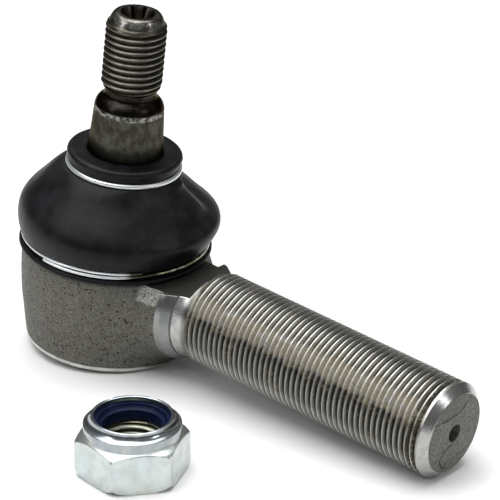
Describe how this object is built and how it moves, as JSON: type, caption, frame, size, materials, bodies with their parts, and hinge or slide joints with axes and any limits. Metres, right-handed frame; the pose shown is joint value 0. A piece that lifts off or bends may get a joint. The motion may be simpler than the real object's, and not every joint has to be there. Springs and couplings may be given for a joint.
{
  "type": "tie rod end",
  "caption": "Outer tie rod end with a threaded shank, a tapered ball stud under a rubber dust boot, and a loose nylon-insert lock nut.",
  "frame": {"origin": "centre of the housing's bottom rim, on the housing axis", "axes": "+Z along the housing axis towards the stud, +X along the threaded shank towards its tip"},
  "size_m": [0.1237, 0.0791, 0.0824],
  "materials": {
    "forged_steel": "forged, grey-brown, pitted, with a machined thread",
    "stud_steel": "dark oiled steel",
    "bearing_plastic": "natural acetal",
    "spring_steel": "blued",
    "plate_steel": "pressed sheet",
    "boot_rubber": "matte black",
    "ring_wire": "bright drawn wire",
    "zinc": "clear zinc plate",
    "nylon": "dark blue nylon"
  },
  "bodies": {
    "housing_body": {"housing": "forged_steel", "upper_ball_seat": "bearing_plastic", "lower_ball_seat": "bearing_plastic", "preload_spring": "spring_steel", "cover_plate": "plate_steel", "boot_lower_ring": "ring_wire"},
    "boot_body": {"dust_boot": "boot_rubber"},
    "boot_top_body": {"boot_upper_ring": "ring_wire"},
    "stud_body": {"ball_stud": "stud_steel"},
    "nut_body": {"lock_nut": "zinc", "nut_insert": "nylon"}
  },
  "joints": [
    {"name": "swing_direction", "type": "hinge", "parent": "housing_body", "child": "boot_body", "pos_m": [0, 0, 0.0155], "axis": [0, 0, 1], "continuous": true, "deforming": ["dust_boot"]},
    {"name": "stud_tilt", "type": "hinge", "parent": "boot_body", "child": "boot_top_body", "pos_m": [0, 0, 0.0155], "axis": [-0.5736, 0.8192, 0], "range_deg": [-23.95, 20.05], "deforming": ["dust_boot"]},
    {"name": "stud_spin", "type": "hinge", "parent": "boot_top_body", "child": "stud_body", "pos_m": [0, 0, 0.0155], "axis": [0.0279, 0.0195, 0.9994], "continuous": true, "deforming": ["dust_boot"]},
    {"name": "nut_lift", "type": "slide", "parent": "housing_body", "child": "nut_body", "axis": [-0.0773, 0, 0.997], "range_m": [0, 0.06]}
  ]
}
